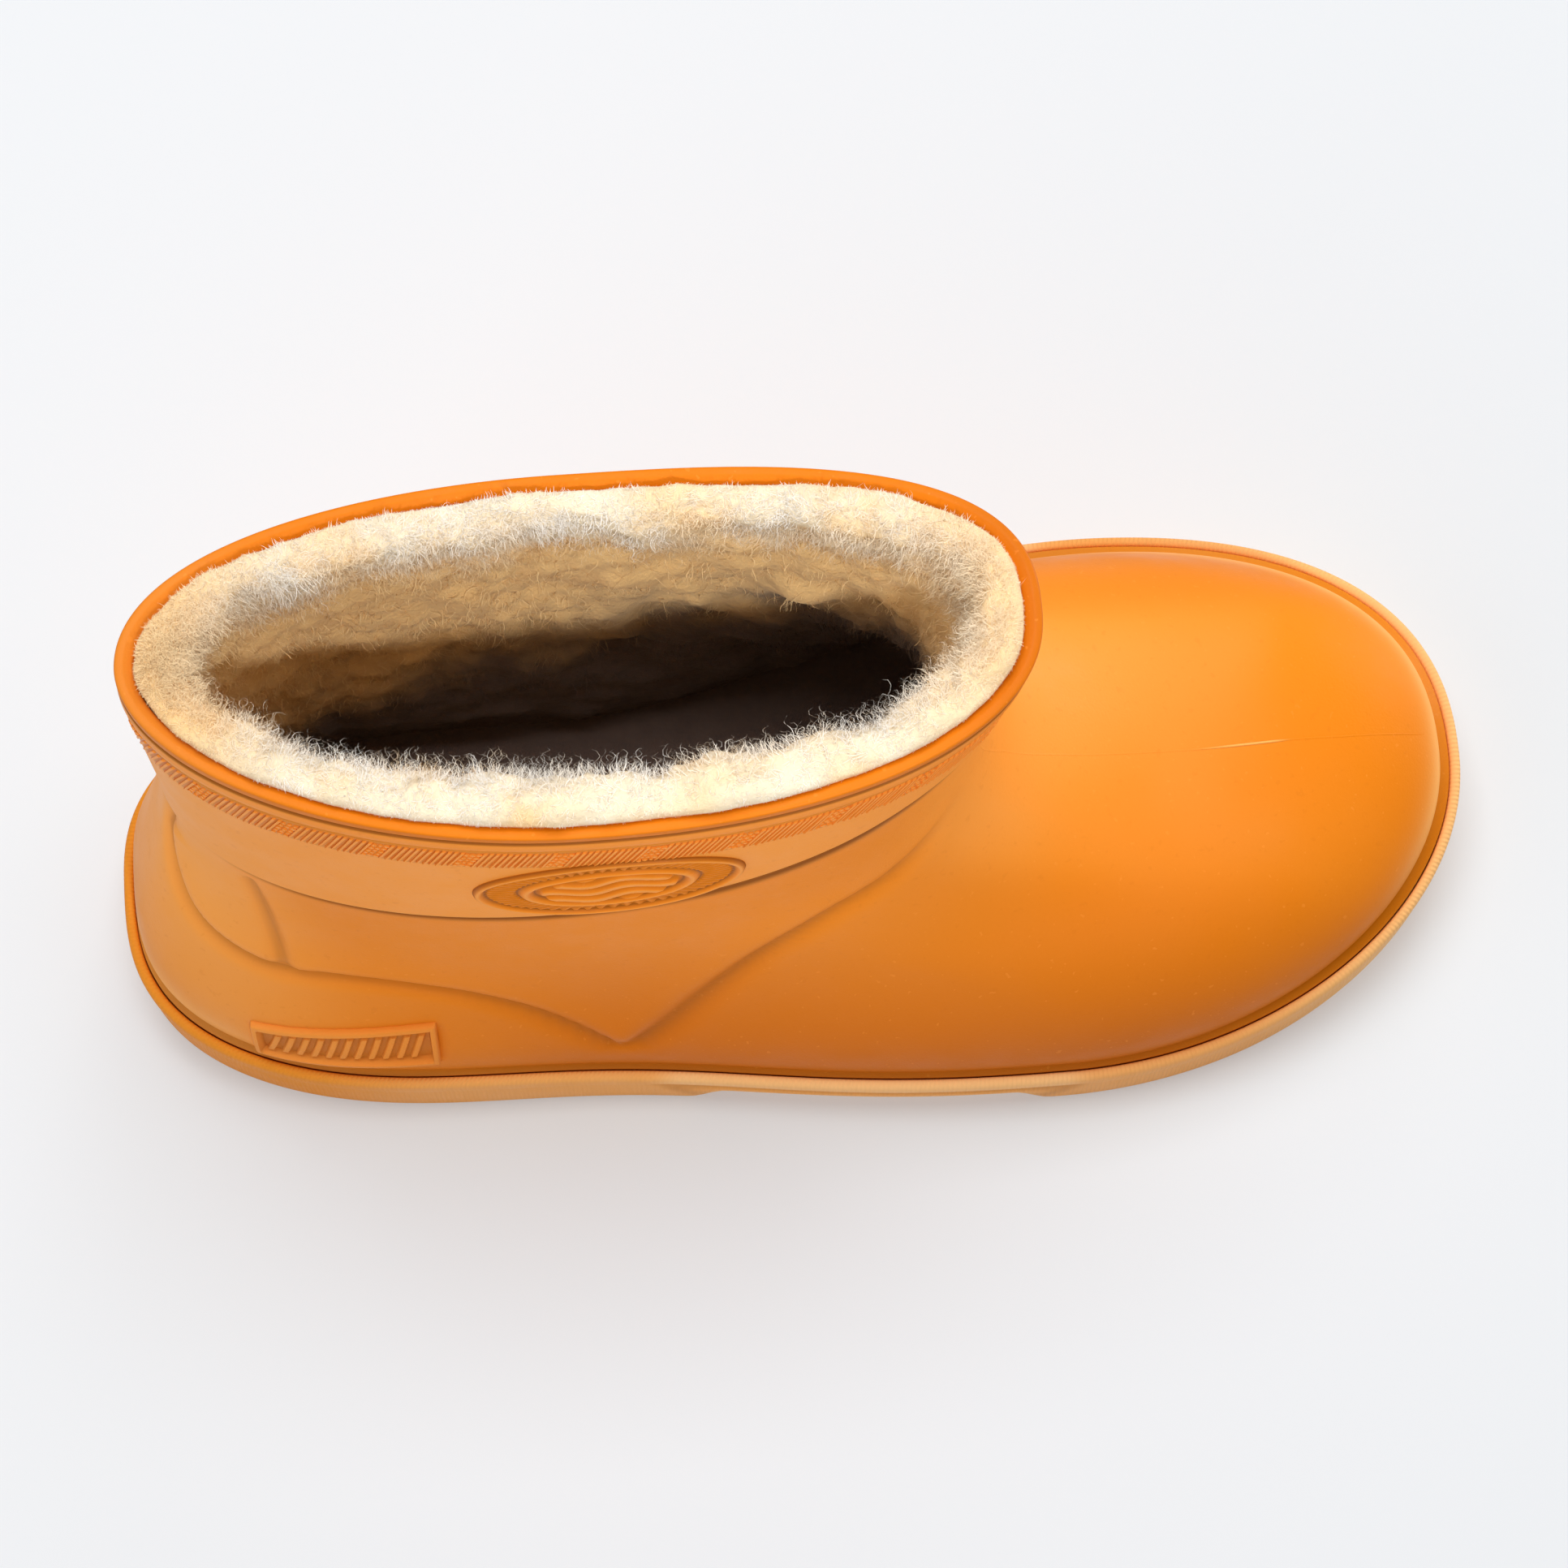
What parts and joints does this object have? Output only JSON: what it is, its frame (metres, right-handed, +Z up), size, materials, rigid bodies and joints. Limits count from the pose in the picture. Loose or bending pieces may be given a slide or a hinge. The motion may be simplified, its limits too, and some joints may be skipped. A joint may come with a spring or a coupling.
{
  "type": "rubber boot",
  "caption": "Ankle-high right rubber boot: hollow moulded upper with beaded collar and raised shaft panel, deep fleece lining, insole, and rimmed outsole with heel, arch and toe spring.",
  "frame": {"origin": "on the floor, under the middle of the sole's bounding box", "axes": "+X from heel to toe, +Y to the inner side of the foot, +Z up"},
  "size_m": [0.2806, 0.1179, 0.1553],
  "materials": {
    "outsole": "matte pale orange rubber",
    "upper": "satin orange rubber",
    "fleece_lining": "cream curly fleece",
    "insole": "brown felt",
    "side_medallion": "satin orange rubber",
    "heel_plate": "satin orange rubber"
  },
  "bodies": {
    "root": {"outsole": "outsole", "upper": "upper", "fleece_lining": "fleece_lining", "insole": "insole", "side_medallion": "side_medallion", "heel_plate": "heel_plate"}
  },
  "joints": []
}
